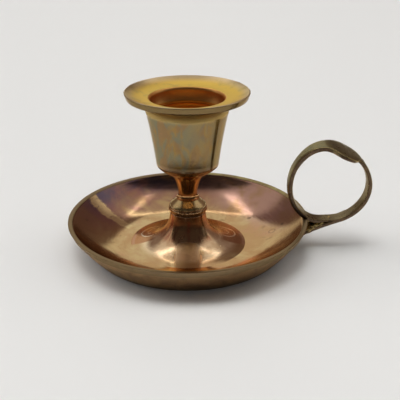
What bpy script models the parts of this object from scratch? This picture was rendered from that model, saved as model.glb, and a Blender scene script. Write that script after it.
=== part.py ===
"""Small brass chamberstick: a dished drip pan with a turned stem and a finger ring.

Metres, +Z up. The origin is on the table, under the middle of the overall box, so the
stick's own axis stands at x = STICK_X and the finger ring reaches out along +X.
Outlines are written in millimetres as (radius, height above the table).
"""
import math

import bmesh
import bpy
from mathutils import Vector

MM = 0.001
GAP = 0.3                      # clearance between neighbouring pieces

# Driving dimensions, in millimetres
PAN_RADIUS = 44.0
RIM_HEIGHT = 12.3
RIM_LAND = 1.7                 # width of the rim's top face
RIM_BAND = 2.4                 # height of the thicker band under the rim
RIM_PROUD = 0.25               # how far that band stands out from the wall
SHEET = 1.5                    # thickness of the pan's floor
WALL_ARC = 54.0                # radius of the gently bellied wall, seen in section
HEEL_ARC = 2.9                 # outer corner between the base and the wall
BOWL_START = 19.0              # where the floor starts to curve up
BOWL_RADIUS = 31.1             # radius of that curve, seen in section
BOWL_TOP_SLOPE = 47.5          # its slope where it meets the rim, in degrees
RECESS_RADIUS = 8.6            # mouth of the pressed-up recess under the pan
RECESS_TOP = 4.6               # height of its ceiling, where the washer bears

ROD_RADIUS = 2.0
ROD_BOTTOM = 0.5
ROD_TOP = 28.0
NUT_FLATS = 7.0
NUT_BOTTOM = 0.6
NUT_TOP = 3.2
WASHER_RADIUS = 4.5
WASHER_THICKNESS = 0.8

FOOT_BASE_RADIUS = 21.4
FOOT_TOP = 13.6
KNOP_BOTTOM = FOOT_TOP + GAP
KNOP_TOP = 19.4
CUP_BOTTOM = KNOP_TOP + GAP
BORE_FLOOR = 33.4
BORE_MOUTH = 57.3
FLANGE_RADIUS = 21.95
FLANGE_TOP = 59.5

RING_X = 51.17                 # ring centre, out from the stick's axis
RING_Z = 24.6                  # ring centre, above the table
RING_RADIUS = 15.22            # to the strap's outer face
RING_LOBE = 0.28               # the hand-bent ring is slightly three-cornered
RING_LOBE_ANGLE = 109.0
STRAP = 1.58                   # thickness of the straps
STRAP_HALF_WIDTH = 2.65
LEAF_HALF_WIDTH = 7.5
LEAF_CROWN = 0.8               # how far the leaf's edges droop

RING_REACH = RING_X + RING_RADIUS + RING_LOBE * math.cos(math.radians(3 * RING_LOBE_ANGLE))
STICK_X = (PAN_RADIUS - RING_REACH) / 2


# Outlines

def arc(centre, radius, start, end, steps):
    """Points along a circular arc; angles in degrees, anticlockwise from the radial axis."""
    angles = [math.radians(start + (end - start) * i / steps) for i in range(steps + 1)]
    return [(centre[0] + radius * math.cos(a), centre[1] + radius * math.sin(a)) for a in angles]


def bezier(p0, p1, p2, p3, steps):
    """Points along a cubic Bezier curve, both ends included."""
    points = []
    for i in range(steps + 1):
        t = i / steps
        weights = ((1 - t) ** 3, 3 * t * (1 - t) ** 2, 3 * t * t * (1 - t), t ** 3)
        points.append(tuple(sum(w * p[k] for w, p in zip(weights, (p0, p1, p2, p3))) for k in (0, 1)))
    return points


def wall_centre():
    """Centre of the wall's section arc: it passes the rim and meets the heel at 45 degrees."""
    height = HEEL_ARC + (WALL_ARC - HEEL_ARC) * math.sin(math.radians(45))
    rise = math.sqrt(WALL_ARC ** 2 - (height - RIM_HEIGHT) ** 2)
    return PAN_RADIUS - rise, height


def pan_outside(grow=0.0):
    """The pan's outer skin, from the edge of its flat base up to the rim."""
    centre = wall_centre()
    heel_radius = centre[0] + (WALL_ARC - HEEL_ARC) * math.cos(math.radians(45))
    top = -math.degrees(math.asin((centre[1] - RIM_HEIGHT + RIM_BAND) / (WALL_ARC + grow)))
    heel = arc((heel_radius, HEEL_ARC), HEEL_ARC + grow, -90, -45, 4)
    wall = arc(centre, WALL_ARC + grow, -45, top, 8)
    return heel + wall[1:]


def pan_inside():
    """The pan's inner skin: a bowl from the rim down and in to its flat middle."""
    centre = (BOWL_START, SHEET + BOWL_RADIUS)
    return arc(centre, BOWL_RADIUS, -90 + BOWL_TOP_SLOPE, -90, 10)


def ring_point(angle, radius):
    """A point of the finger ring, from the stick's axis; angle in degrees from +X towards +Z."""
    turn = math.radians(angle)
    return Vector((RING_X + radius * math.cos(turn), 0, RING_Z + radius * math.sin(turn)))


def ring_radius(angle):
    """Outer radius of the bent ring: a circle with three slight lobes."""
    return RING_RADIUS + RING_LOBE * math.cos(math.radians(3 * (angle - RING_LOBE_ANGLE)))


def smooth(value, low, high):
    """0 below low, 1 above high, and an even curve between."""
    t = min(max((value - low) / (high - low), 0), 1)
    return t * t * (3 - 2 * t)


# Building

def clear_scene():
    for item in list(bpy.data.objects):
        bpy.data.objects.remove(item, do_unlink=True)


def brass(name, colour, roughness):
    """A brass finish: one Principled BSDF."""
    material = bpy.data.materials.new(name)
    material.use_nodes = True
    shader = material.node_tree.nodes["Principled BSDF"]
    shader.inputs["Base Color"].default_value = (*colour, 1)
    shader.inputs["Metallic"].default_value = 1.0
    shader.inputs["Roughness"].default_value = roughness
    return material


def add_object(name, bm, material, parent, at=(0, 0, 0)):
    """Turn a bmesh into a smooth-shaded object with crisp edges kept."""
    bmesh.ops.remove_doubles(bm, verts=bm.verts, dist=1e-6)
    bmesh.ops.recalc_face_normals(bm, faces=bm.faces)
    mesh = bpy.data.meshes.new(name)
    bm.to_mesh(mesh)
    bm.free()
    mesh.shade_smooth()
    mesh.set_sharp_from_angle(angle=math.radians(35))
    if material:
        mesh.materials.append(material)
    item = bpy.data.objects.new(name, mesh)
    item.location = at
    item.parent = parent
    bpy.context.collection.objects.link(item)
    return item


def lathe(name, outline, segments, material, parent):
    """Turn an outline about the stick's axis. One that starts and ends on the axis stays open."""
    bm = bmesh.new()
    verts = [bm.verts.new((radius * MM, 0, height * MM)) for radius, height in outline]
    pairs = list(zip(verts, verts[1:]))
    if outline[0][0] > 0:
        pairs.append((verts[-1], verts[0]))
    edges = [bm.edges.new(pair) for pair in pairs]
    bmesh.ops.spin(bm, geom=verts + edges, cent=(0, 0, 0), axis=(0, 0, 1),
                   angle=2 * math.pi, steps=segments, use_merge=True)
    return add_object(name, bm, material, parent, (STICK_X * MM, 0, 0))


def cut(item, cutter):
    """Take the cutter's shape out of an object; the cutter stays as a hidden guide."""
    cutter.hide_render = True
    cutter.display_type = "WIRE"
    modifier = item.modifiers.new("cut", "BOOLEAN")
    modifier.operation = "DIFFERENCE"
    modifier.object = cutter


def strap(name, stations, material, parent):
    """Sweep a flat strap. A station is (outer face point, outward, half width, thickness, crown)."""
    across = (-1, -0.5, 0, 0.5, 1)
    bm = bmesh.new()
    sections = []
    for face_point, outward, half_width, thickness, crown in stations:
        section = []
        for depth, sides in ((0, across), (thickness, across[::-1])):
            for side in sides:
                spot = face_point - outward * (depth + crown * side * side)
                section.append(bm.verts.new(Vector((spot.x, side * half_width, spot.z)) * MM))
        sections.append(section)
    for near, far in zip(sections, sections[1:]):
        for i in range(len(near)):
            j = (i + 1) % len(near)
            bm.faces.new((near[i], near[j], far[j], far[i]))
    bm.faces.new(sections[0])
    bm.faces.new(sections[-1][::-1])
    return add_object(name, bm, material, parent, (STICK_X * MM, 0, 0))


# The stick

def drip_pan(parent):
    """Cast and turned dish with a recess under its middle, and a notch in the rim for the ring."""
    recess = [(ROD_RADIUS + GAP, RECESS_TOP), (4.9, RECESS_TOP), (5.5, 4.2), (7.3, 0.8),
              (RECESS_RADIUS, 0)]
    lip = RIM_HEIGHT - 0.3
    band = [(PAN_RADIUS - 1.35 + RIM_PROUD, RIM_HEIGHT - RIM_BAND), (PAN_RADIUS, lip),
            (PAN_RADIUS - 0.3, RIM_HEIGHT), (PAN_RADIUS - RIM_LAND, lip)]
    boss = [(9.2, SHEET), (8.3, 2.0), (6.6, 5.3), (5.8, RECESS_TOP + SHEET),
            (ROD_RADIUS + GAP, RECESS_TOP + SHEET)]
    outline = recess + pan_outside() + band + pan_inside() + boss
    pan = lathe("drip_pan", outline, 64, brass("pan_brass", (0.50, 0.33, 0.17), 0.22), parent)

    notch_radius = RING_RADIUS + RING_LOBE + GAP
    notch_half_width = STRAP_HALF_WIDTH + GAP
    bm = bmesh.new()
    bmesh.ops.create_cone(bm, cap_ends=True, segments=72, radius1=notch_radius * MM,
                          radius2=notch_radius * MM, depth=2 * notch_half_width * MM)
    bmesh.ops.rotate(bm, verts=bm.verts, cent=(0, 0, 0),
                     matrix=Vector((0, 0, 1)).rotation_difference(Vector((0, 1, 0))).to_matrix())
    cutter = add_object("rim_notch_cutter", bm, None, parent,
                        ((STICK_X + RING_X) * MM, 0, RING_Z * MM))
    cut(pan, cutter)
    return pan


def stem_foot(parent):
    """Hollow trumpet whose wide thin flare lies on the pan's floor, over the boss."""
    outside = bezier((6.45, FOOT_TOP - 0.4), (6.9, 8.5), (9.25, 3.0), (FOOT_BASE_RADIUS, 2.4), 14)
    inside = bezier((11.0, SHEET + GAP), (9.3, 2.8), (7.4, 5.0), (7.0, 7.2), 6)
    bore = [(4.6, 11.2), (ROD_RADIUS + GAP, 11.6), (ROD_RADIUS + GAP, FOOT_TOP)]
    edge = [(FOOT_BASE_RADIUS, SHEET + GAP + 0.12), (BOWL_START, SHEET + GAP)]
    outline = [(6.25, FOOT_TOP)] + outside + edge + inside + bore
    return lathe("stem_foot", outline, 44, brass("foot_brass", (0.36, 0.24, 0.13), 0.2), parent)


def stem_knop(parent):
    """Turned collar: a band, a fine groove and a domed shoulder."""
    band = [(6.2, KNOP_BOTTOM), (6.6, 14.2), (6.75, 14.9), (6.7, 15.7), (6.45, 16.1), (6.45, 16.3)]
    dome = bezier((6.65, 16.5), (6.4, 17.6), (5.3, 18.5), (4.6, KNOP_TOP), 6)
    bore = [(ROD_RADIUS + GAP, KNOP_TOP), (ROD_RADIUS + GAP, KNOP_BOTTOM)]
    return lathe("stem_knop", band + dome + bore, 40, brass("knop_brass", (0.52, 0.45, 0.24), 0.2), parent)


def candle_cup(parent):
    """Flanged candle socket with a tapered bore, on a narrow neck tapped for the rod."""
    rim = [(FLANGE_RADIUS - 0.3, FLANGE_TOP), (FLANGE_RADIUS, FLANGE_TOP - 0.4), (21.1, 57.2)]
    under = bezier((21.1, 57.2), (17.2, 56.2), (15.1, 54.8), (14.35, 51.6), 6)
    side = bezier((14.35, 51.6), (13.3, 46.9), (12.1, 40.5), (11.1, 34.2), 6)
    shoulder = [(10.75, 32.5), (10.2, 31.6), (6.5, 29.3)]
    neck = bezier((6.5, 29.3), (4.4, 27.7), (3.7, 26.0), (3.6, 23.5), 5)
    base = bezier((3.6, 23.5), (3.6, 21.8), (3.9, 20.6), (4.6, CUP_BOTTOM), 4)
    hole = [(ROD_RADIUS + GAP, CUP_BOTTOM), (ROD_RADIUS + GAP, ROD_TOP + GAP), (0, ROD_TOP + GAP)]
    bore = [(0, BORE_FLOOR), (9.4, BORE_FLOOR), (9.7, BORE_FLOOR + 0.5), (12.7, 52.4), (12.9, 52.6),
            (12.95, 56.3), (13.2, 57.0), (13.8, BORE_MOUTH)]
    dish = bezier((13.8, BORE_MOUTH), (16.6, 57.4), (19.4, 58.2), (FLANGE_RADIUS - 0.3, FLANGE_TOP), 5)
    outline = bore + dish[1:-1] + rim[:2] + under + side[1:] + shoulder + neck[1:] + base[1:] + hole
    return lathe("candle_cup", outline, 48, brass("cup_brass", (0.55, 0.44, 0.22), 0.2), parent)


def tie_rod(parent):
    """Threaded rod that draws the pan, foot, knop and cup together."""
    outline = [(0, ROD_BOTTOM), (1.7, ROD_BOTTOM), (ROD_RADIUS, 0.8), (ROD_RADIUS, ROD_TOP - 0.3),
               (1.7, ROD_TOP), (0, ROD_TOP)]
    return lathe("tie_rod", outline, 24, brass("rod_brass", (0.55, 0.42, 0.20), 0.35), parent)


def base_washer(parent):
    """Flat washer between the nut and the ceiling of the recess."""
    top = RECESS_TOP - GAP
    bottom = top - WASHER_THICKNESS
    inner = ROD_RADIUS + GAP
    outline = [(inner, bottom), (WASHER_RADIUS, bottom), (WASHER_RADIUS, top), (inner, top)]
    return lathe("base_washer", outline, 32, brass("washer_brass", (0.50, 0.38, 0.18), 0.35), parent)


def base_nut(parent):
    """Hexagon nut on the rod's lower end."""
    corner = NUT_FLATS / math.sqrt(3)
    hole = ROD_RADIUS + GAP
    turns = [math.radians(60 * i) for i in range(6)]
    bm = bmesh.new()
    rings = []
    for radius, height in ((corner, NUT_BOTTOM), (corner, NUT_TOP), (hole, NUT_TOP), (hole, NUT_BOTTOM)):
        ring = [bm.verts.new((radius * math.cos(a) * MM, radius * math.sin(a) * MM, height * MM))
                for a in turns]
        rings.append(ring)
    for near, far in zip(rings, rings[1:] + rings[:1]):
        for i in range(len(turns)):
            j = (i + 1) % len(turns)
            bm.faces.new((near[i], near[j], far[j], far[i]))
    material = brass("nut_brass", (0.50, 0.38, 0.18), 0.35)
    return add_object("base_nut", bm, material, parent, (STICK_X * MM, 0, 0))


# The finger ring

def pan_clearance(parent):
    """Guide solid: the pan's outer shape grown by the gap, to fit the tail and solder to it."""
    skin = pan_outside(GAP)
    outline = [(0, -GAP)] + skin + [(PAN_RADIUS + GAP, RIM_HEIGHT), (0, RIM_HEIGHT)]
    return lathe("pan_clearance_cutter", outline, 64, None, parent)


def ring_strap(parent, clearance):
    """Lower strap: from the pan's wall, up the right side, thinned to lie under the leaf's tip."""
    tangent = -72.0
    start = ring_point(tangent, ring_radius(tangent))
    tail = bezier((start.x, start.z), (start.x - 6.6, start.z - 2.2), (42.7, RIM_HEIGHT - 7.05),
                  (34.9, RIM_HEIGHT - 11.5), 10)
    stations = []
    for i in range(len(tail) - 1, 0, -1):
        before = tail[max(i - 1, 0)]
        after = tail[min(i + 1, len(tail) - 1)]
        along = Vector((before[0] - after[0], 0, before[1] - after[1])).normalized()
        outward = Vector((along.z, 0, -along.x))
        point = Vector((tail[i][0], 0, tail[i][1]))
        stations.append((point, outward, STRAP_HALF_WIDTH, STRAP, 0))
    for i in range(25):
        angle = tangent + (49 - tangent) * i / 24
        outward = ring_point(angle, 1) - ring_point(angle, 0)
        shaved = (STRAP - 0.5) * smooth(angle, 24, 46)
        point = ring_point(angle, ring_radius(angle) - shaved)
        stations.append((point, outward, STRAP_HALF_WIDTH, STRAP - shaved, 0))
    material = brass("strap_brass", (0.36, 0.31, 0.20), 0.3)
    item = strap("ring_strap", stations, material, parent)
    cut(item, clearance)
    return item


def leaf_half_width(angle):
    """Half width of the upper strap: plain at the left, leaf-shaped over the top."""
    plain = 2.3 + 1.7 * smooth(-angle, -152, -101) + 0.35 * smooth(angle, 152, 200)
    leaf = LEAF_HALF_WIDTH * math.sin(math.pi * min(max((102 - angle) / 72, 0), 1)) ** 0.65
    tip = LEAF_HALF_WIDTH * min((angle - 45.3) / 15, 1) ** 0.55
    return min(max(plain, leaf), tip)


def leaf_rise(angle):
    """How far the upper strap's outer face stands off the plain ring: a hump before the leaf,
    a dip in its middle and a lift where its tip overlaps the lower strap."""
    hump = 0.6 * math.exp(-((angle - 108) / 22) ** 2)
    dip = 0.12 * math.exp(-((angle - 72) / 10) ** 2)
    return hump - dip + 0.5 * smooth(-angle, -59, -50)


def thumb_strap(parent):
    """Upper strap: the leaf thumb rest, the ring's left side, and an end scarfed onto the tail."""
    stations = []
    tip = [46, 47, 48.5, 50.5]
    for angle in tip + [53 + 3 * i for i in range(23)] + [124 + 6 * i for i in range(22)] + [255, 261, 266, 271]:
        outward = ring_point(angle, 1) - ring_point(angle, 0)
        half_width = leaf_half_width(angle)
        over_tail = 1.15 * smooth(angle, 255, 271)
        at_tip = smooth(-angle, -59, -50)
        thickness = STRAP - 0.55 * at_tip - 0.85 * over_tail
        radius = ring_radius(angle) + leaf_rise(angle) - over_tail
        crown = LEAF_CROWN * (half_width / LEAF_HALF_WIDTH) ** 2 * smooth(-angle, -130, -95)
        stations.append((ring_point(angle, radius), outward, half_width, thickness, crown))
    return strap("thumb_strap", stations, brass("thumb_brass", (0.36, 0.32, 0.22), 0.3), parent)


def ring_solder(parent, clearance):
    """Brazing filler in the wedge between the rim, the ring and the tail."""
    wedge = [(42.0, -2.2), (43.6, -1.9), (45.6, -2.55), (47.4, -3.0), (46.6, -3.35), (43.3, -4.9),
             (40.6, -6.2), (38.4, -7.6)]
    bm = bmesh.new()
    near = [bm.verts.new(Vector((x, -2.3, RIM_HEIGHT + z)) * MM) for x, z in wedge]
    far = [bm.verts.new(Vector((x, 2.3, RIM_HEIGHT + z)) * MM) for x, z in wedge]
    for i in range(len(wedge)):
        j = (i + 1) % len(wedge)
        bm.faces.new((near[i], near[j], far[j], far[i]))
    bm.faces.new(near)
    bm.faces.new(far[::-1])
    material = brass("solder_brass", (0.55, 0.42, 0.16), 0.4)
    item = add_object("ring_solder", bm, material, parent, (STICK_X * MM, 0, 0))
    cut(item, clearance)
    return item


def main():
    clear_scene()
    root = bpy.data.objects.new("chamberstick", None)
    bpy.context.collection.objects.link(root)
    drip_pan(root)
    stem_foot(root)
    stem_knop(root)
    candle_cup(root)
    tie_rod(root)
    base_washer(root)
    base_nut(root)
    clearance = pan_clearance(root)
    ring_strap(root, clearance)
    thumb_strap(root)
    ring_solder(root, clearance)


main()
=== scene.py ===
import math

import bpy
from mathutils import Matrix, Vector, noise


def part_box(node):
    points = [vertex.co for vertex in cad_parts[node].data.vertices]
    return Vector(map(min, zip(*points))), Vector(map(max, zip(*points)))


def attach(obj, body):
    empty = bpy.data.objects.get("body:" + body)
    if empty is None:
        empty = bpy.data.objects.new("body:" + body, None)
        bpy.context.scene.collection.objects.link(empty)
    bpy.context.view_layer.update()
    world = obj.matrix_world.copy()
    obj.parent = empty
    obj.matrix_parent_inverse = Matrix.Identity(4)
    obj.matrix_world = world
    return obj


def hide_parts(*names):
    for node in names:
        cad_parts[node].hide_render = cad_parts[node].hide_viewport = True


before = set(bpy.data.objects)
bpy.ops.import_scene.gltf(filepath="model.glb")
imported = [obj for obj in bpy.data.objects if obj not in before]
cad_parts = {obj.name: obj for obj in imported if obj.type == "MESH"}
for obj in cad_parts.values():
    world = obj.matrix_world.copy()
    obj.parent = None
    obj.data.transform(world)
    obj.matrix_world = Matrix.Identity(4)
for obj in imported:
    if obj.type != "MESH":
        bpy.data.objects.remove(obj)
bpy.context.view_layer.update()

MM = 0.001
TURN = 2 * math.pi
SHARP_ANGLE = math.radians(50)
GRAZING_TINT = (0.85, 0.74, 0.58, 1)

# Places taken from the frame, in millimetres
CUP_LOW, CUP_HIGH = (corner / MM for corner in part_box("candle_cup"))
PAN_LOW, PAN_HIGH = (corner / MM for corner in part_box("drip_pan"))
KNOP_TOP = (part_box("stem_knop")[1] / MM).z
FOOT_TOP = (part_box("stem_foot")[1] / MM).z
STICK_X = (CUP_LOW.x + CUP_HIGH.x) / 2
RIM_HEIGHT = PAN_HIGH.z
PAN_RADIUS = (PAN_HIGH.y - PAN_LOW.y) / 2
FLANGE_RADIUS = (CUP_HIGH.y - CUP_LOW.y) / 2
FLANGE_TOP = CUP_HIGH.z

# Sizes of the model that the frame doesn't name, in millimetres and degrees
PAN_FLOOR = 1.5
RIM_LAND = 1.7
RIM_BAND = 2.4
RIM_LEAN = 1.1
WALL_ARC = 54.0
HEEL_ARC = 2.9
BOWL_START = 19.0
BOWL_RADIUS = 31.1
BOWL_TOP_SLOPE = 47.5
HOLE_RADIUS = 2.3
FLARE_RADIUS = 21.5
FLARE_UNDERSIDE = 1.3
BORE_FLOOR = 33.4
BORE_TOP = 52.2
BORE_MOUTH = 57.3
RING_X = 51.17
RING_Z = 24.6
RING_RADIUS = 15.22
RING_LOBE = 0.28
RING_LOBE_ANGLE = 109.0
STRAP = 1.58
STRAP_HALF_WIDTH = 2.65
LEAF_CROWN = 0.45
LEAF_END = 151


# Outlines: lists of (radius, height) in millimetres

def arc(centre, radius, start, end, steps):
    """Points along an arc; angles in degrees, anticlockwise from the radial axis."""
    angles = [math.radians(start + (end - start) * i / steps) for i in range(steps + 1)]
    return [(centre[0] + radius * math.cos(a), centre[1] + radius * math.sin(a)) for a in angles]


def bezier(p0, p1, p2, p3, steps):
    """Points along a cubic Bezier curve, both ends included."""
    points = []
    for i in range(steps + 1):
        t = i / steps
        weights = ((1 - t) ** 3, 3 * t * (1 - t) ** 2, 3 * t * t * (1 - t), t ** 3)
        points.append(tuple(sum(w * p[k] for w, p in zip(weights, (p0, p1, p2, p3))) for k in (0, 1)))
    return points


def rounded(corners, steps=5):
    """An outline with its corners eased: each corner is (radius, height, how far back to round)."""
    points = []
    for i, (x, z, ease) in enumerate(corners):
        here = Vector((x, z))
        if ease == 0 or i in (0, len(corners) - 1):
            points.append((x, z))
            continue
        before = here + (Vector(corners[i - 1][:2]) - here).normalized() * ease
        after = here + (Vector(corners[i + 1][:2]) - here).normalized() * ease
        for k in range(steps + 1):
            t = k / steps
            point = before * (1 - t) ** 2 + here * 2 * t * (1 - t) + after * t * t
            points.append((point.x, point.y))
    return points


def smooth(value, low, high):
    """0 below low, 1 above high, and an even curve between."""
    t = min(max((value - low) / (high - low), 0), 1)
    return t * t * (3 - 2 * t)


# Meshes

def tube_faces(rows, around):
    """The faces between rings of points, where each ring has the same number of points."""
    faces = []
    for row in range(rows - 1):
        near, far = row * around, (row + 1) * around
        for k in range(around):
            j = (k + 1) % around
            faces.append((near + k, near + j, far + j, far + k))
    return faces


def finish_mesh(name, verts, faces, material, replaces):
    """Make the mesh, in metres at the stick's axis, and hide the parts it stands for."""
    mesh = bpy.data.meshes.new(name)
    mesh.from_pydata([Vector(v) * MM for v in verts], [], faces)
    mesh.update()
    mesh.shade_smooth()
    mesh.set_sharp_from_angle(angle=SHARP_ANGLE)
    mesh.materials.append(material)
    item = bpy.data.objects.new(name, mesh)
    item.location = (STICK_X * MM, 0, 0)
    bpy.context.scene.collection.objects.link(item)
    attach(item, "root")
    for node in replaces:
        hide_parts(node)
    return item


def turned(name, outline, segments, material, replaces, slot):
    """Turn an outline about the stick's axis. An outline that starts on the axis also ends on it."""
    verts = []
    faces = []
    rows = []
    for radius, height in outline:
        if radius == 0:
            rows.append([len(verts)] * segments)
            verts.append((0, 0, height))
            continue
        rows.append(list(range(len(verts), len(verts) + segments)))
        for i in range(segments):
            angle = TURN * i / segments
            verts.append((radius * math.cos(angle), radius * math.sin(angle), height))
    if outline[0][0] > 0:
        rows.append(rows[0])
    for near, far in zip(rows, rows[1:]):
        for i in range(segments):
            j = (i + 1) % segments
            corners = (near[i], near[j], far[j], far[i])
            face = [c for k, c in enumerate(corners) if c != corners[k - 1]]
            if len(face) > 2:
                faces.append(face)
    return finish_mesh(name, verts, faces, material, replaces)


def strap(name, stations, material, replaces):
    """Sweep a flat strap with rounded edges. A station is
    (outer face point, outward, half width, thickness, crown)."""
    around = 32
    squareness = 0.32
    verts = []
    for face_point, outward, half_width, thickness, crown in stations:
        for k in range(around):
            angle = TURN * (k + 0.5) / around
            side = math.copysign(abs(math.cos(angle)) ** squareness, math.cos(angle))
            rise = math.copysign(abs(math.sin(angle)) ** squareness, math.sin(angle))
            depth = thickness * (1 - rise) / 2 + crown * side * side
            spot = face_point - outward * depth
            verts.append((spot.x, side * half_width, spot.z))
    faces = tube_faces(len(stations), around)
    faces.append(tuple(range(around))[::-1])
    faces.append(tuple(len(verts) - around + k for k in range(around)))
    return finish_mesh(name, verts, faces, material, replaces)


# Materials

class Tree:
    """Short calls for building a node tree."""

    def __init__(self, tree):
        self.tree = tree

    def put(self, socket, value):
        if isinstance(value, bpy.types.NodeSocket):
            self.tree.links.new(value, socket)
        else:
            socket.default_value = value

    def node(self, kind, **settings):
        node = self.tree.nodes.new(kind)
        for key, value in settings.items():
            setattr(node, key, value)
        return node

    def math(self, operation, *values):
        node = self.node("ShaderNodeMath", operation=operation)
        for socket, value in zip(node.inputs, values):
            self.put(socket, value)
        return node.outputs[0]

    def plus(self, first, second):
        return self.math("ADD", first, second)

    def minus(self, first, second):
        return self.math("SUBTRACT", first, second)

    def times(self, *values):
        result = values[0]
        for value in values[1:]:
            result = self.math("MULTIPLY", result, value)
        return result

    def over(self, first, second):
        return self.math("DIVIDE", first, second)

    def most(self, first, second):
        return self.math("MAXIMUM", first, second)

    def absolute(self, value):
        return self.math("ABSOLUTE", value)

    def length(self, first, second):
        """How long the line with these two components is."""
        return self.math("SQRT", self.plus(self.times(first, first), self.times(second, second)))

    def step(self, value, low, high, out_low=0.0, out_high=1.0):
        """0 at low and 1 at high, smooth between; low may be the greater of the two."""
        node = self.node("ShaderNodeMapRange", interpolation_type="SMOOTHSTEP")
        self.put(node.inputs["Value"], value)
        limits = {"From Min": low, "From Max": high, "To Min": out_low, "To Max": out_high}
        for name, number in limits.items():
            self.put(node.inputs[name], number)
        return node.outputs["Result"]

    def mix(self, factor, first, second):
        """The first colour where the factor is 0, the second where it is 1."""
        node = self.node("ShaderNodeMix", data_type="RGBA")
        sockets = (node.inputs[0], node.inputs[6], node.inputs[7])
        for socket, value in zip(sockets, (factor, first, second)):
            if isinstance(value, tuple) and len(value) == 3:
                value = (*value, 1)
            self.put(socket, value)
        return node.outputs[2]

    def band(self, value, low, high, soft):
        """1 between low and high, falling to 0 over soft on both sides."""
        rise = self.step(value, low - soft, low + soft)
        fall = self.step(value, high - soft, high + soft, 1.0, 0.0)
        return self.times(rise, fall)

    def vector(self, operation, first, second, out="Vector"):
        node = self.node("ShaderNodeVectorMath", operation=operation)
        self.put(node.inputs[0], first)
        self.put(node.inputs[1], second)
        return node.outputs[out]

    def distance(self, first, second):
        return self.vector("DISTANCE", first, second, out="Value")

    def split(self, vector):
        node = self.node("ShaderNodeSeparateXYZ")
        self.put(node.inputs[0], vector)
        return node.outputs

    def join(self, x, y, z):
        node = self.node("ShaderNodeCombineXYZ")
        for socket, value in zip(node.inputs, (x, y, z)):
            self.put(socket, value)
        return node.outputs[0]

    def noise(self, vector, size, detail=4.0, roughness=0.55, distortion=0.0, seed=0.0):
        """Smooth noise about 0.5, with features about size across."""
        node = self.node("ShaderNodeTexNoise", noise_dimensions="4D")
        for key, value in (("Vector", vector), ("W", seed), ("Scale", 1 / size), ("Detail", detail),
                           ("Roughness", roughness), ("Distortion", distortion)):
            self.put(node.inputs[key], value)
        return node.outputs["Fac"]


class Brass(Tree):
    """Tarnished brass. Positions are in millimetres from the foot of the stick's axis."""

    def __init__(self, name):
        self.material = bpy.data.materials.new(name)
        self.material.use_nodes = True
        super().__init__(self.material.node_tree)
        self.shader = self.tree.nodes["Principled BSDF"]
        self.shader.inputs["Metallic"].default_value = 1.0
        self.shader.inputs["Specular Tint"].default_value = GRAZING_TINT
        coords = self.node("ShaderNodeTexCoord")
        self.place = self.vector("MULTIPLY", coords.outputs["Object"], (1 / MM, 1 / MM, 1 / MM))
        self.x, self.y, self.z = self.split(self.place)
        self.radius = self.length(self.x, self.y)
        self.turn = self.math("ARCTAN2", self.y, self.x)
        normal = coords.outputs["Normal"]
        self.facing_x, self.facing_y, self.facing_z = self.split(normal)
        from_axis = self.vector("MULTIPLY", self.place, (1, 1, 0))
        away = self.vector("DOT_PRODUCT", from_axis, normal, out="Value")
        self.outward = self.over(away, self.most(self.radius, 0.1))

    def tint(self, colour, other, amount):
        return self.mix(amount, colour, other)

    def patches(self, size, low, high, seed=0.0, detail=5.0, distortion=0.6):
        """A mask of soft-edged patches about size across."""
        return self.step(self.noise(self.place, size, detail, 0.6, distortion, seed), low, high)

    def turning(self, pitch, depth=1.0):
        """Fine uneven rings left by turning or polishing on the lathe."""
        spot = self.join(self.radius, self.z, self.times(self.turn, 0.12))
        return self.times(self.noise(spot, pitch, 3.0, 0.6), depth)

    def spot(self, x, y, z, size, soft=0.4):
        """A mask of one round spot."""
        return self.step(self.distance(self.place, (x, y, z)), size, size * (1 - soft))

    def finish(self, colour, roughness, dents=0.02, grain=0.004, turned=0.004, pitch=0.35):
        """Join up the colour, roughness and bumps; bump heights are in millimetres."""
        wave = self.times(self.noise(self.place, 5.5, 2.0, 0.5, 0.3, 3.7), dents)
        fine = self.times(self.noise(self.place, 0.45, 4.0, 0.65, 0.0, 9.1), grain)
        rings = self.turning(pitch, turned)
        height = self.plus(self.plus(wave, fine), rings)
        bump = self.node("ShaderNodeBump")
        self.put(bump.inputs["Distance"], MM)
        self.put(bump.inputs["Height"], height)
        self.put(self.shader.inputs["Normal"], bump.outputs[0])
        self.put(self.shader.inputs["Base Color"], colour)
        self.put(self.shader.inputs["Roughness"], roughness)
        return self.material


def worn_copper(b):
    """The coppery gold of the pan's floor, which the foot's flare shares."""
    copper = b.tint((0.56, 0.34, 0.165), (0.67, 0.49, 0.25), b.patches(16, 0.4, 0.62, 1.0))
    copper = b.tint(copper, (0.60, 0.33, 0.19), b.times(b.patches(9, 0.5, 0.68, 2.0), 0.55))
    copper = b.tint(copper, (0.33, 0.19, 0.09), b.times(b.patches(5, 0.56, 0.7, 5.0, 8.0), 0.55))
    scuff = b.noise(b.join(b.times(b.radius, 3.0), b.times(b.turn, 9.0), b.z), 3.0, 6.0, 0.7)
    return copper, b.step(scuff, 0.35, 0.75, 0.08, 0.2)


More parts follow.
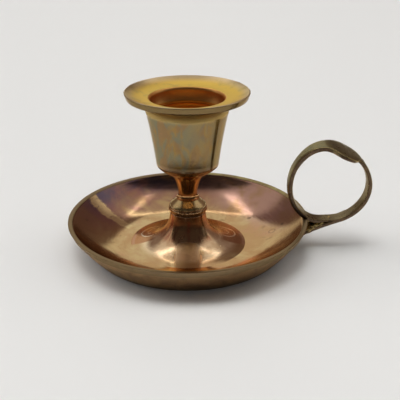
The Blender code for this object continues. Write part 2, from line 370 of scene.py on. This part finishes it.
def pan_brass():
    b = Brass("pan_brass")
    inside, polish = worn_copper(b)
    # the wall is browner, with a purple and blue bloom at the back left
    wall = b.step(b.radius, 29, 40)
    bronze = b.tint((0.30, 0.17, 0.12), (0.44, 0.28, 0.15), b.step(b.x, 5, 30))
    inside = b.tint(inside, bronze, b.times(wall, 0.6))
    rear = b.times(b.step(b.y, -4, 16), b.step(b.radius, 25, 33))
    left = b.step(b.x, 30, -12)
    purple = b.times(rear, b.patches(11, 0.3, 0.6, 7.0, 2.0), left)
    inside = b.tint(inside, (0.37, 0.17, 0.175), b.times(purple, 0.75))
    blue = b.times(b.step(b.radius, 34, 41), b.step(b.y, 4, 22), b.patches(12, 0.3, 0.6, 8.0, 2.0), left)
    inside = b.tint(inside, (0.13, 0.125, 0.20), b.times(blue, 0.8))
    rose = b.times(rear, b.patches(9, 0.32, 0.58, 9.5, 2.0), b.step(b.x, 6, 16))
    inside = b.tint(inside, (0.60, 0.38, 0.34), b.times(rose, 0.7))
    # a pale dried run down the wall at the back left
    direction = 2.69
    off_line = b.absolute(b.minus(b.absolute(b.turn), direction))
    sway = b.plus(off_line, b.times(b.minus(b.noise(b.place, 3.0, 4.0, 0.6, 0.5, 6.6), 0.5), 0.12))
    run = b.times(b.step(sway, 0.085, 0.05), b.step(b.radius, 24, 27), b.step(b.y, 0, 2),
                  b.step(b.x, -10, -14))
    inside = b.tint(inside, (0.92, 0.70, 0.36), b.times(run, b.patches(1.5, 0.2, 0.5, 13.0), 0.9))
    # small stains: a faint ring and four dark spots
    marks = b.band(b.distance(b.place, (31.6, 3.0, 4.2)), 1.1, 1.4, 0.2)
    spots = ((12.4, 37.2, 8.9, 0.9), (23.8, 16.8, 3.2, 1.0), (-38.2, 4.1, 8.3, 0.8), (35.5, 4.6, 6.4, 0.9))
    for x, y, z, size in spots:
        marks = b.most(marks, b.spot(x, y, z, size))
    inside = b.tint(inside, (0.20, 0.12, 0.07), b.times(marks, 0.6))
    # speckled oxide
    speck = b.patches(0.9, 0.66, 0.74, 11.0, 3.0)
    inside = b.tint(inside, (0.13, 0.08, 0.05), b.times(speck, 0.6))
    # outside: dull brown, darker low down (painted shade), and olive on the rim with a brighter edge,
    # painted as a highlight at the back right
    outside = b.tint((0.50, 0.32, 0.17), (0.33, 0.205, 0.12), b.patches(6, 0.42, 0.62, 4.0))
    outside = b.tint(outside, (0.40, 0.30, 0.16), b.times(b.patches(3, 0.55, 0.7, 6.0), 0.5))
    rim = b.step(b.z, RIM_HEIGHT - RIM_BAND - 0.1, RIM_HEIGHT - RIM_BAND + 0.1)
    outside = b.tint(outside, (0.20, 0.14, 0.075), b.times(rim, 0.85))
    edge = b.step(b.z, RIM_HEIGHT - 0.75, RIM_HEIGHT - 0.35)
    # painted highlight: the rim's top edge is painted lighter at the back right
    rim_highlight_place = b.times(b.step(b.y, 4, 24), b.step(b.x, -4, 6))
    rim_edge_and_highlight = b.tint((0.25, 0.18, 0.105), (0.44, 0.38, 0.17), rim_highlight_place)
    outside = b.tint(outside, rim_edge_and_highlight, b.times(edge, b.patches(5, 0.3, 0.6, 12.0), 0.85))
    # painted shade: the outside gets darker towards the floor
    outside = b.tint(outside, (0.12, 0.075, 0.04), b.times(b.step(b.z, 5.5, 0.5), 0.8))
    # the outside starts at the rim's inner corner
    out = b.most(b.step(b.outward, 0.05, 0.2), b.step(b.radius, PAN_RADIUS - 2.1, PAN_RADIUS - 1.6))
    colour = b.tint(inside, outside, out)
    polish = b.plus(polish, b.times(wall, 0.06))
    roughness = b.plus(b.times(b.minus(1.0, out), polish), b.times(out, 0.36))
    return b.finish(colour, roughness, dents=0.035)


def foot_brass():
    b = Brass("foot_brass")
    flat, polish = worn_copper(b)
    # copper up the stem, a lighter gold where it flares (painted highlight), and the floor's colour at the
    # edge
    colour = b.tint((0.74, 0.44, 0.25), (0.80, 0.56, 0.33), b.patches(7, 0.4, 0.62, 1.5))
    colour = b.tint(colour, (0.70, 0.32, 0.2), b.times(b.patches(4, 0.5, 0.66, 2.5), 0.5))
    # painted highlight: the flare is painted a lighter gold to stand in for the light it mirrors
    wear_and_sheen = b.tint((1.0, 0.78, 0.50), (0.86, 0.63, 0.38), b.patches(3.5, 0.44, 0.6, 4.5))
    colour = b.tint(colour, wear_and_sheen, b.step(b.z, 6.4, 4.0))
    colour = b.tint(colour, flat, b.step(b.radius, 15.5, 19.5))
    colour = b.tint(colour, (0.22, 0.12, 0.065), b.times(b.step(b.z, 8.6, 10.6), 0.5))
    # painted reflections: copper patches with rings on the flare, to the left and right of the stem, stand
    # in for the mirrored images seen there
    side = b.absolute(b.x)
    mirror_image_area = b.times(b.step(b.y, -3.6, -2.6), b.step(b.z, 4.4, 3.4), b.step(side, 6, 8))
    colour = b.tint(colour, (0.53, 0.255, 0.125), b.times(mirror_image_area, 0.9))
    reach = b.distance(b.join(side, b.y, 0.0), (13.0, 5.3, 0.0))
    reach = b.plus(reach, b.times(b.noise(b.place, 4, 2.0, 0.5, 0.0, 1.9), 0.9))
    # painted reflection: pale loops for the bright lines mirrored in the flare
    painted_reflection_loops = b.most(b.band(reach, 4.95, 5.5, 0.18), b.times(b.band(reach, 2.7, 3.05, 0.18), 0.8))
    colour = b.tint(colour, (1.0, 0.85, 0.66), b.times(painted_reflection_loops, mirror_image_area))
    # painted reflection: a pinkish band along the flare's edge around the rings
    painted_reflection_hem = b.times(b.band(b.radius, 20.0, 21.0, 0.3), mirror_image_area)
    colour = b.tint(colour, (0.62, 0.36, 0.24), b.times(painted_reflection_hem, 0.6))
    # dark streaks down the stem
    around = b.noise(b.join(b.times(b.turn, 6.0), b.times(b.z, 0.15), 0.0), 1.0, 4.0, 0.6, 0.0, 3.3)
    streak = b.times(b.step(b.z, 4.5, 6.5), b.step(around, 0.5, 0.62))
    colour = b.tint(colour, (0.42, 0.15, 0.09), b.times(streak, 0.7))
    # satin up the stem and in front, polished like the floor at the edge
    satin = b.step(b.noise(b.place, 4, 6.0, 0.7, 0.5, 4.4), 0.35, 0.75, 0.16, 0.3)
    fade = b.step(b.radius, 14.5, 18.5)
    roughness = b.plus(b.times(b.minus(1.0, fade), satin), b.times(fade, polish))
    matt = b.times(b.band(b.x, -4.5, 4.5, 1.5), b.step(b.y, -8, -11))
    roughness = b.most(roughness, b.times(matt, 0.42))
    # one redder run at the front
    red = b.times(b.band(b.x, -0.1, 0.9, 0.35), b.step(b.y, 0, -2), b.band(b.z, 6.3, 12.6, 0.8))
    colour = b.tint(colour, (0.62, 0.17, 0.10), b.times(red, b.patches(3, 0.35, 0.55, 8.8), 0.8))
    return b.finish(colour, roughness, dents=0.035)


def knop_brass():
    b = Brass("knop_brass")
    colour = b.tint((0.66, 0.52, 0.26), (0.72, 0.54, 0.27), b.patches(4, 0.42, 0.6, 1.2))
    # the band is browner than the dome, with a pale line near its foot that is a painted highlight
    band = b.step(b.z, 16.75, 16.5)
    colour = b.tint(colour, (0.42, 0.22, 0.11), b.times(band, 0.8))
    # painted highlight: a pale line near the band's foot
    line = b.band(b.z, 14.75, 15.15, 0.12)
    colour = b.tint(colour, (0.62, 0.50, 0.30), b.times(line, 0.7))
    roughness = b.step(b.noise(b.place, 2.5, 6.0, 0.7, 0.5, 6.1), 0.35, 0.75, 0.18, 0.32)
    return b.finish(colour, roughness, dents=0.012, pitch=0.2)


def cup_brass():
    b = Brass("cup_brass")
    # side: olive gold, with teal and yellow clouds that run down it
    run = b.join(b.x, b.y, b.times(b.z, 0.45))
    clouds = b.step(b.noise(run, 5.0, 3.0, 0.5, 1.2, 1.6), 0.42, 0.58)
    clouds = b.times(clouds, b.step(b.x, 5, -3, 0.5, 1.0))
    gold = b.step(b.noise(run, 5.0, 3.0, 0.5, 1.2, 2.2), 0.4, 0.64)
    side = b.tint((0.285, 0.18, 0.085), (0.375, 0.225, 0.06), b.times(gold, 0.9))
    side = b.tint(side, (0.165, 0.20, 0.155), b.times(clouds, 0.68))
    pits = b.patches(1.1, 0.62, 0.72, 3.3, 4.0)
    side = b.tint(side, (0.42, 0.22, 0.09), b.times(pits, 0.5))
    # flange: yellow, greyer towards its edge and dull brown on its rim
    top = b.times(b.step(b.z, BORE_MOUTH - 0.2, BORE_MOUTH), b.step(b.facing_z, 0.2, 0.5))
    flange = b.tint((0.86, 0.60, 0.13), (0.74, 0.61, 0.40), b.step(b.radius, 17.5, FLANGE_RADIUS))
    flange = b.tint(flange, (0.55, 0.43, 0.16), b.times(b.patches(5, 0.48, 0.68, 5.0), 0.6))
    side = b.tint(side, flange, top)
    rim = b.times(b.step(b.radius, 19.8, 20.6), b.step(b.facing_z, 0.3, 0.1))
    side = b.tint(side, (0.22, 0.15, 0.065), b.times(rim, 0.9))
    # the flange's underside: yellow
    under = b.times(b.step(b.facing_z, 0.02, -0.12), b.step(b.z, 51.2, 53.0), b.step(b.radius, 20.0, 19.0))
    side = b.tint(side, (0.55, 0.385, 0.13), b.times(under, 0.85))
    # bore: orange brown, painted brighter and more orange for the light bounced about inside it, with darker
    # turned rings
    wall = b.times(b.step(b.outward, -0.2, -0.5), b.step(b.radius, 14.6, 14.2),
                   b.step(b.z, BORE_FLOOR - 0.3, BORE_FLOOR))
    seat = b.times(b.step(b.radius, 10.2, 9.6), b.step(b.z, BORE_FLOOR - 0.4, BORE_FLOOR - 0.1))
    hollow = b.most(wall, seat)
    rings = b.step(b.turning(0.5), 0.42, 0.6)
    # partly painted light: the bore's colour stands in for its glow of bounced light, lighter still near its
    # top
    bore_tone_and_glow = b.tint((1.0, 0.52, 0.11), (0.78, 0.34, 0.06), rings)
    bore_tone_and_glow = b.tint(bore_tone_and_glow, (1.0, 0.56, 0.19), b.step(b.z, BORE_TOP, BORE_TOP + 0.6))
    colour = b.tint(side, bore_tone_and_glow, hollow)
    # shoulder: browner; neck: a brighter orange, painted in for the orange glow mirrored in it
    low = b.times(b.step(b.z, 34.6, 33.0), b.step(b.radius, 9.0, 10.0), b.step(b.outward, -0.5, -0.2))
    colour = b.tint(colour, (0.52, 0.34, 0.20), b.times(low, 0.85))
    # painted reflection: the neck's brighter orange
    neck = b.times(b.step(b.z, 32.4, 31.6), b.step(b.radius, 10.4, 9.4))
    colour = b.tint(colour, (0.66, 0.34, 0.14), b.times(neck, 0.9))
    grain = b.step(b.noise(b.place, 3, 6.0, 0.7, 0.4, 7.7), 0.35, 0.75, 0.1, 0.24)
    satin = b.most(b.times(top, 0.34), b.times(hollow, 0.42))
    satin = b.most(satin, b.times(under, 0.45))
    return b.finish(colour, b.most(grain, satin), dents=0.02, turned=0.008, pitch=0.3)


def strap_brass(name):
    b = Brass(name)
    across = b.minus(b.x, RING_X)
    above = b.minus(b.z, RING_Z)
    facing_out = b.plus(b.times(across, b.facing_x), b.times(above, b.facing_z))
    facing_out = b.over(facing_out, b.most(b.length(across, above), 0.1))
    # olive outside, browner inside
    outer = b.tint((0.215, 0.20, 0.115), (0.285, 0.255, 0.135), b.patches(5, 0.42, 0.62, 1.1))
    outer = b.tint(outer, (0.175, 0.20, 0.158), b.times(b.patches(3, 0.5, 0.66, 2.1), 0.6))
    inner = b.tint((0.22, 0.178, 0.098), (0.16, 0.125, 0.078), b.patches(4, 0.42, 0.62, 3.1))
    colour = b.tint(inner, outer, b.step(facing_out, -0.3, 0.3))
    # dark on the flat sides, bright along the corners from wear and from a painted highlight
    slope = b.absolute(b.facing_y)
    side = b.tint((0.105, 0.07, 0.045), (0.16, 0.105, 0.062), b.patches(3, 0.4, 0.65, 4.1))
    colour = b.tint(colour, side, b.step(slope, 0.72, 0.9))
    # the bright corners are partly wear and partly a painted highlight along the edges
    wear_and_sheen = b.times(b.band(slope, 0.35, 0.72, 0.12), b.patches(2.5, 0.3, 0.55, 5.1))
    colour = b.tint(colour, (0.66, 0.50, 0.22), b.times(wear_and_sheen, 0.85))
    speck = b.patches(0.8, 0.62, 0.72, 6.1, 3.0)
    colour = b.tint(colour, (0.10, 0.07, 0.045), b.times(speck, 0.6))
    roughness = b.step(b.noise(b.place, 2, 6.0, 0.7, 0.4, 7.1), 0.3, 0.75, 0.24, 0.42)
    return b.finish(colour, roughness, dents=0.03, grain=0.012, turned=0.0)


def solder_brass():
    b = Brass("solder_brass")
    colour = b.tint((0.58, 0.42, 0.17), (0.38, 0.27, 0.11), b.patches(1.6, 0.42, 0.6, 1.3))
    crevice = b.step(b.noise(b.place, 1.5, 4.0, 0.6, 1.5, 5.5), 0.47, 0.42)
    colour = b.tint(colour, (0.05, 0.035, 0.02), crevice)
    roughness = b.step(b.noise(b.place, 0.8, 4.0, 0.6, 0.4, 2.1), 0.3, 0.75, 0.25, 0.5)
    return b.finish(colour, roughness, dents=0.25, grain=0.03, turned=0.0)


def fixing_brass():
    b = Brass("fixing_brass")
    colour = b.tint((0.50, 0.38, 0.18), (0.32, 0.22, 0.11), b.patches(2, 0.42, 0.62, 1.3))
    roughness = b.step(b.noise(b.place, 1.2, 5.0, 0.6, 0.4, 3.1), 0.3, 0.75, 0.28, 0.48)
    return b.finish(colour, roughness, dents=0.01, grain=0.01, turned=0.01, pitch=0.4)


# Pieces

def wall_centre():
    """The middle of the arc of the pan's outer wall, which meets the heel at 45 degrees."""
    height = HEEL_ARC + (WALL_ARC - HEEL_ARC) * math.sin(math.radians(45))
    rise = math.sqrt(WALL_ARC ** 2 - (height - RIM_HEIGHT) ** 2)
    return PAN_RADIUS - rise, height


def drip_pan():
    """From the recess under the middle: heel, outer wall, rim, bowl, floor and the boss inside."""
    centre = wall_centre()
    heel_radius = centre[0] + (WALL_ARC - HEEL_ARC) * math.cos(math.radians(45))
    top = -math.degrees(math.asin((centre[1] - RIM_HEIGHT + RIM_BAND) / WALL_ARC))
    heel = arc((heel_radius, HEEL_ARC), HEEL_ARC, -90, -45, 10)
    outside = heel + arc(centre, WALL_ARC, -45, top, 30)[1:]
    lip = RIM_HEIGHT - 0.3
    band_low = PAN_RADIUS - RIM_LEAN
    step_height = RIM_HEIGHT - RIM_BAND
    rim = rounded([(band_low - 0.3, step_height, 0), (band_low, step_height, 0.12),
                   (PAN_RADIUS, RIM_HEIGHT - 0.05, 0.3), (PAN_RADIUS - RIM_LAND, lip, 0.25),
                   (PAN_RADIUS - RIM_LAND - 0.2, lip - 0.3, 0)])
    bowl = arc((BOWL_START, PAN_FLOOR + BOWL_RADIUS), BOWL_RADIUS, -90 + BOWL_TOP_SLOPE, -90, 60)
    floor = [(radius, PAN_FLOOR) for radius in (17, 15, 12)]
    boss = rounded([(9.2, PAN_FLOOR, 0), (6.6, 5.3, 0.5), (5.8, 6.1, 0.4), (HOLE_RADIUS, 6.1, 0)], 3)
    recess = rounded([(HOLE_RADIUS, 4.6, 0), (5.2, 4.6, 0.7), (7.3, 0.9, 0.8), (8.8, 0, 0.6),
                      (12, 0, 0)])
    outline = recess + outside + rim[1:] + bowl + floor + boss
    return turned("pan", outline, 288, pan_brass(), ["drip_pan"], "pan_brass")


def stem_foot():
    """A hollow trumpet: its flare runs out into the pan's floor, and its top closes up to the knop."""
    top = FOOT_TOP + 0.75
    outside = bezier((6.5, top - 0.4), (6.9, 8.7), (9.25, 3.0), (FLARE_RADIUS, 1.57), 90)
    outline = [(6.0, top), (6.3, top)] + outside + [(FLARE_RADIUS, FLARE_UNDERSIDE), (11.0, FLARE_UNDERSIDE)]
    inner = bezier((11.0, FLARE_UNDERSIDE), (9.3, 2.8), (7.4, 5.0), (7.0, 7.2), 6)[2:]
    outline += [(10.5, 1.9)] + inner + [(4.6, 11.2), (HOLE_RADIUS, 11.6), (HOLE_RADIUS, top)]
    return turned("foot", outline, 224, foot_brass(), ["stem_foot"], "foot_brass")


def stem_knop():
    """A band and a groove under a domed shoulder."""
    bottom = FOOT_TOP + 0.85
    band = rounded([(HOLE_RADIUS, bottom, 0), (6.55, bottom, 0.15), (6.98, 14.8, 0.2), (7.05, 15.5, 0.3),
                    (6.84, 16.35, 0.2), (6.5, 16.55, 0.1), (6.48, 16.75, 0.1), (6.66, 16.85, 0.1)], 4)[:-1]
    dome = bezier((6.66, 16.85), (6.5, 17.5), (5.3, 18.1), (3.95, KNOP_TOP), 28)
    outline = band + dome + [(HOLE_RADIUS, KNOP_TOP)]
    return turned("knop", outline, 192, knop_brass(), ["stem_knop"], "knop_brass")


def candle_cup():
    """The bore from its floor up, the flange, then the outside down to the neck's foot."""
    bore = [(0, BORE_FLOOR), (4, BORE_FLOOR)]
    bore += rounded([(8.6, BORE_FLOOR, 0), (9.4, BORE_FLOOR, 0.4), (9.75, BORE_FLOOR + 0.8, 0)])
    steps = 150
    narrow, wide = 9.8, 12.65
    for i in range(steps + 1):
        height = BORE_FLOOR + 1 + (BORE_TOP - BORE_FLOOR - 1) * i / steps
        taper = narrow + (wide - narrow) * i / steps
        rings = 0.05 * math.sin(TURN * height / 1.15) + 0.03 * math.sin(TURN * height / 0.63)
        bore.append((taper + rings, height))
    bore += rounded([(12.9, 52.4, 0), (12.95, 56.6, 0.4), (13.5, BORE_MOUTH, 0.45), (14.4, BORE_MOUTH, 0)])
    dish = bezier((14.5, BORE_MOUTH), (16.8, 57.45), (19.4, 58.2), (FLANGE_RADIUS - 0.4, FLANGE_TOP), 22)
    rim = rounded([(FLANGE_RADIUS - 0.42, FLANGE_TOP, 0), (FLANGE_RADIUS, FLANGE_TOP - 0.2, 0.3),
                   (21.2, 57.1, 0.35), (20.0, 56.85, 0)])
    under_flange, at_shoulder, at_neck, at_waist = (14.35, 51.6), (11.35, 34.2), (6.0, 28.9), (3.6, 23.2)
    under = bezier((20.0, 56.8), (17.0, 56.0), (15.0, 54.8), under_flange, 20)
    side = bezier(under_flange, (13.3, 46.9), (12.2, 40.5), at_shoulder, 40)
    shoulder = rounded([(*at_shoulder, 0), (11.2, 32.6, 0.5), (9.3, 30.8, 0.9), (6.9, 29.4, 0.5),
                        (*at_neck, 0)])
    neck = bezier(at_neck, (5.0, 27.8), (4.2, 25.9), at_waist, 18)
    low = CUP_LOW.z - 0.2
    base = bezier(at_waist, (3.35, 21.8), (3.35, 20.6), (3.85, CUP_LOW.z + 0.35), 14)
    base += [(4.15, CUP_LOW.z + 0.2), (4.15, CUP_LOW.z - 0.1), (4.0, low)]
    hole = [(HOLE_RADIUS, low), (HOLE_RADIUS, 28.3), (0, 28.3)]
    outline = bore + dish + rim[1:] + under[1:] + side[1:] + shoulder[1:] + neck[1:] + base[1:] + hole
    return turned("cup", outline, 256, cup_brass(), ["candle_cup"], "cup_brass")


def ring_point(angle, radius):
    """A point about the finger ring's middle; the angle is 0 at +X and 90 at the top."""
    turn = math.radians(angle)
    return Vector((RING_X + radius * math.cos(turn), 0, RING_Z + radius * math.sin(turn)))


def ring_radius(angle):
    """The ring's outer radius, which is slightly three-lobed."""
    return RING_RADIUS + RING_LOBE * math.cos(math.radians(3 * (angle - RING_LOBE_ANGLE)))


def ring_strap():
    """The tail on the pan's wall, then the ring's right side, thinned under the leaf's tip."""
    tangent, tip = -72.0, 48.0
    start = ring_point(tangent, ring_radius(tangent))
    tail = bezier((start.x, start.z), (start.x - 6.6, start.z - 2.2), (42.7, RIM_HEIGHT - 7.05),
                  (35.9, RIM_HEIGHT - 11.0), 40)
    stations = []
    for i in range(len(tail) - 1, 0, -1):
        before = tail[i - 1]
        after = tail[min(i + 1, len(tail) - 1)]
        along = Vector((before[0] - after[0], 0, before[1] - after[1])).normalized()
        outward = Vector((along.z, 0, -along.x))
        stations.append((Vector((tail[i][0], 0, tail[i][1])), outward, STRAP_HALF_WIDTH, STRAP, 0))
    steps = 90
    for i in range(steps + 1):
        angle = tangent + (tip - tangent) * i / steps
        outward = ring_point(angle, 1) - ring_point(angle, 0)
        shaved = (STRAP - 0.7) * smooth(angle, 37, 46)
        point = ring_point(angle, ring_radius(angle) - shaved)
        stations.append((point, outward, STRAP_HALF_WIDTH, STRAP - shaved, 0))
    return strap("ring_lower", stations, strap_brass("strap_brass"), ["ring_strap"])


def ring_solder():
    """A lump of filler between the rim, the ring and its tail."""
    rows, around = 40, 56
    half_length, half_width, half_height = 6.6, 2.85, 1.75
    middle = (46.2, RIM_HEIGHT - 4.1)
    lean = math.radians(27)
    verts = []
    for row in range(rows + 1):
        polar = math.pi * row / rows
        for k in range(around):
            turn = TURN * k / around
            girth = math.sin(polar)
            way = Vector((math.cos(polar), girth * math.cos(turn), girth * math.sin(turn)))
            lump = 1 + 0.2 * noise.noise(way * 2.3) + 0.1 * noise.noise(way * 5.5)
            along = half_length * way.x * lump
            side = half_width * way.y * lump
            rise = (half_height - 0.9 * way.x) * way.z * lump
            verts.append((middle[0] + along * math.cos(lean) - rise * math.sin(lean), side,
                          middle[1] + along * math.sin(lean) + rise * math.cos(lean)))
    faces = tube_faces(rows + 1, around)
    return finish_mesh("ring_filler", verts, faces, solder_brass(), ["ring_solder"])


def paint_fixings():
    """The rod, washer and nut keep their shapes and get a better material."""
    material = fixing_brass()
    for name in ("tie_rod", "base_washer", "base_nut"):
        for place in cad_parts[name].material_slots:
            place.link = "OBJECT"
            place.material = material


def thumb_station(angle):
    """Outer radius, half width and thickness of the upper strap: a leaf, then the ring's left side,
    whose end thins out over the tail."""
    # angle, outer radius, half width, thickness
    stages = [(43, 15.0, 0.7, 0.4), (45, 15.0, 2.4, 0.6), (48, 14.9, 4.4, 0.9), (52, 14.7, 6.2, 1.2),
              (57, 14.5, 7.5, 1.4), (64, 14.4, 8.1, 1.5), (70, 14.5, 8.3, 1.6), (77, 14.7, 8.0, 1.7),
              (84, 15.1, 6.9, 1.8), (92, 15.6, 5.2, 1.85), (100, 15.95, 4.1, 1.9), (113, 16.0, 3.3, 1.9),
              (125, 15.75, 2.9, 1.9), (137, 15.4, 2.65, 1.85), (LEAF_END, 15.15, 2.4, 1.8)]
    if angle >= LEAF_END:
        over_tail = smooth(angle, 246, 274)
        slim = 0.22 * smooth(angle, 225, 250)
        lift = 0.25 * smooth(angle, 262, 285) - 0.3 * smooth(angle, 285, 302)
        ease = 0.1 * smooth(-angle, -185, -LEAF_END)
        radius = ring_radius(angle) + ease - (STRAP - 0.25) * over_tail + lift
        thickness = 1.8 - slim - 0.95 * over_tail - 0.45 * smooth(angle, 274, 302)
        return radius, 2.4 + 0.25 * smooth(angle, 160, 205), thickness
    for k in range(len(stages) - 1):
        if angle <= stages[k + 1][0]:
            break
    p0, p1, p2, p3 = (stages[min(max(k + n, 0), len(stages) - 1)] for n in (-1, 0, 1, 2))
    t = (angle - p1[0]) / (p2[0] - p1[0])
    values = []
    for n in (1, 2, 3):
        enter = (p2[n] - p0[n]) / (p2[0] - p0[0]) * (p2[0] - p1[0])
        leave = (p3[n] - p1[n]) / (p3[0] - p1[0]) * (p2[0] - p1[0])
        rise = p2[n] - p1[n]
        values.append(p1[n] + enter * t + (3 * rise - 2 * enter - leave) * t ** 2
                      + (enter + leave - 2 * rise) * t ** 3)
    return values


def thumb_strap():
    """The leaf thumb rest and the ring's left side, with stations closest together on the leaf."""
    stations = []
    angles = [43.02 + 0.2 * i for i in range(45)] + [52 + 0.6 * i for i in range(60)]
    angles += [88 + i for i in range(166)] + [254 + 1.5 * i for i in range(33)]
    for angle in angles:
        outward = ring_point(angle, 1) - ring_point(angle, 0)
        radius, half_width, thickness = thumb_station(angle)
        crown = LEAF_CROWN * (half_width / 8) ** 2 * smooth(-angle, -130, -95)
        stations.append((ring_point(angle, radius + 0.35 * crown), outward, half_width, thickness, crown))
    return strap("ring_upper", stations, strap_brass("thumb_brass"), ["thumb_strap"])


# Stage

def floor():
    """A plain pale floor, a hair below the object."""
    size = 6.0
    corners = [(-size, -size, 0), (size, -size, 0), (size, size, 0), (-size, size, 0)]
    mesh = bpy.data.meshes.new("floor")
    mesh.from_pydata(corners, [], [(0, 1, 2, 3)])
    item = bpy.data.objects.new("floor", mesh)
    item.location = (0, 0, -0.1 * MM)
    bpy.context.scene.collection.objects.link(item)
    material = bpy.data.materials.new("floor")
    material.use_nodes = True
    shader = material.node_tree.nodes["Principled BSDF"]
    shader.inputs["Base Color"].default_value = (0.82, 0.82, 0.81, 1)
    shader.inputs["Roughness"].default_value = 0.6
    shader.inputs["Specular IOR Level"].default_value = 0.2
    mesh.materials.append(material)


def room(t, x, y, z):
    """What the brass mirrors: a backdrop behind, a bright frame overhead, a dark near side."""
    up = t.most(z, 0.02)
    across = t.over(x, up)
    along = t.over(y, up)
    # walls, with the pale backdrop in the middle of the far one, and the ceiling inside the frame
    backdrop = t.band(t.math("ARCTAN2", x, y), -0.42, 0.16, 0.03)
    walls = t.mix(backdrop, (0.17, 0.12, 0.11), (0.75, 0.75, 0.73))
    ceiling = t.mix(t.step(along, 1.05, 0.8), walls, (0.52, 0.46, 0.42))
    dark = t.mix(t.step(along, 0.02, -0.05), ceiling, (0.045, 0.035, 0.028))
    # the frame of light: two side bars and a far bar
    frame_left, frame_right = -0.46, 0.39
    sides = t.most(t.band(across, frame_left, -0.34, 0.03), t.band(across, 0.33, frame_right, 0.02))
    sides = t.times(sides, t.band(along, 0.12, 0.84, 0.03))
    back = t.times(t.band(along, 0.8, 0.88, 0.02), t.band(across, frame_left, frame_right, 0.03))
    return t.mix(t.most(sides, back), dark, (2.0, 1.83, 1.74))


def soft_light(t, x, y, z):
    """What lights dull surfaces: light from overhead, from both sides and a little from low down."""
    overhead = t.times(t.band(x, -0.32, 0.1, 0.08), t.band(y, -0.24, 0.12, 0.08), t.step(z, 0.88, 0.92))
    slope = t.over(y, t.most(t.absolute(x), 0.01))
    left = t.times(t.step(x, 0.0, -0.1), t.band(slope, -0.27, 0.55, 0.15), t.band(z, 0.42, 0.93, 0.06))
    right = t.times(t.step(x, 0.0, 0.1), t.band(slope, -0.27, 0.9, 0.15), t.band(z, 0.68, 0.98, 0.03))
    low = t.times(t.step(z, 0.4, 0.3), t.step(t.absolute(y), 0.4, 0.7))
    fill = t.mix(low, (0.04, 0.04, 0.04), (0.9, 0.9, 0.9))
    fill = t.mix(left, fill, (3.9, 3.9, 3.88))
    fill = t.mix(right, fill, (3.1, 3.1, 3.08))
    return t.mix(overhead, fill, (8.7, 8.7, 8.65))


def studio():
    """The world: one light for mirrored rays, one for dull surfaces, and a plain pale background."""
    world = bpy.data.worlds.new("studio")
    bpy.context.scene.world = world
    world.use_nodes = True
    t = Tree(world.node_tree)
    x, y, z = t.split(t.node("ShaderNodeTexCoord").outputs["Generated"])
    mirrored = world.node_tree.nodes["Background"]
    t.put(mirrored.inputs["Color"], room(t, x, y, z))
    soft = t.node("ShaderNodeBackground")
    t.put(soft.inputs["Color"], soft_light(t, x, y, z))
    plain = t.node("ShaderNodeBackground")
    plain.inputs["Color"].default_value = (0.74, 0.74, 0.73, 1)
    path = t.node("ShaderNodeLightPath")
    shown = mirrored.outputs[0]
    for ray, shade in (("Is Diffuse Ray", soft), ("Is Camera Ray", plain)):
        mix = t.node("ShaderNodeMixShader")
        t.put(mix.inputs["Fac"], path.outputs[ray])
        t.put(mix.inputs[1], shown)
        t.put(mix.inputs[2], shade.outputs[0])
        shown = mix.outputs[0]
    t.put(world.node_tree.nodes["World Output"].inputs["Surface"], shown)
    bpy.context.scene.view_settings.view_transform = "Standard"


def camera():
    """A camera in front of the stick, a little to its right, that looks down on it."""
    aside, back, above_rim, dip = 4.44, 252.0, 116.15, 23.606
    data = bpy.data.cameras.new("camera")
    data.lens = 67.5
    data.sensor_width = 36
    data.clip_start = 0.01
    item = bpy.data.objects.new("camera", data)
    item.location = ((STICK_X + aside) * MM, -back * MM, (RIM_HEIGHT + above_rim) * MM)
    item.rotation_euler = (math.radians(90 - dip), 0, 0)
    bpy.context.scene.collection.objects.link(item)
    bpy.context.scene.camera = item


drip_pan()
stem_foot()
stem_knop()
candle_cup()
ring_strap()
thumb_strap()
ring_solder()
paint_fixings()
floor()
studio()
camera()
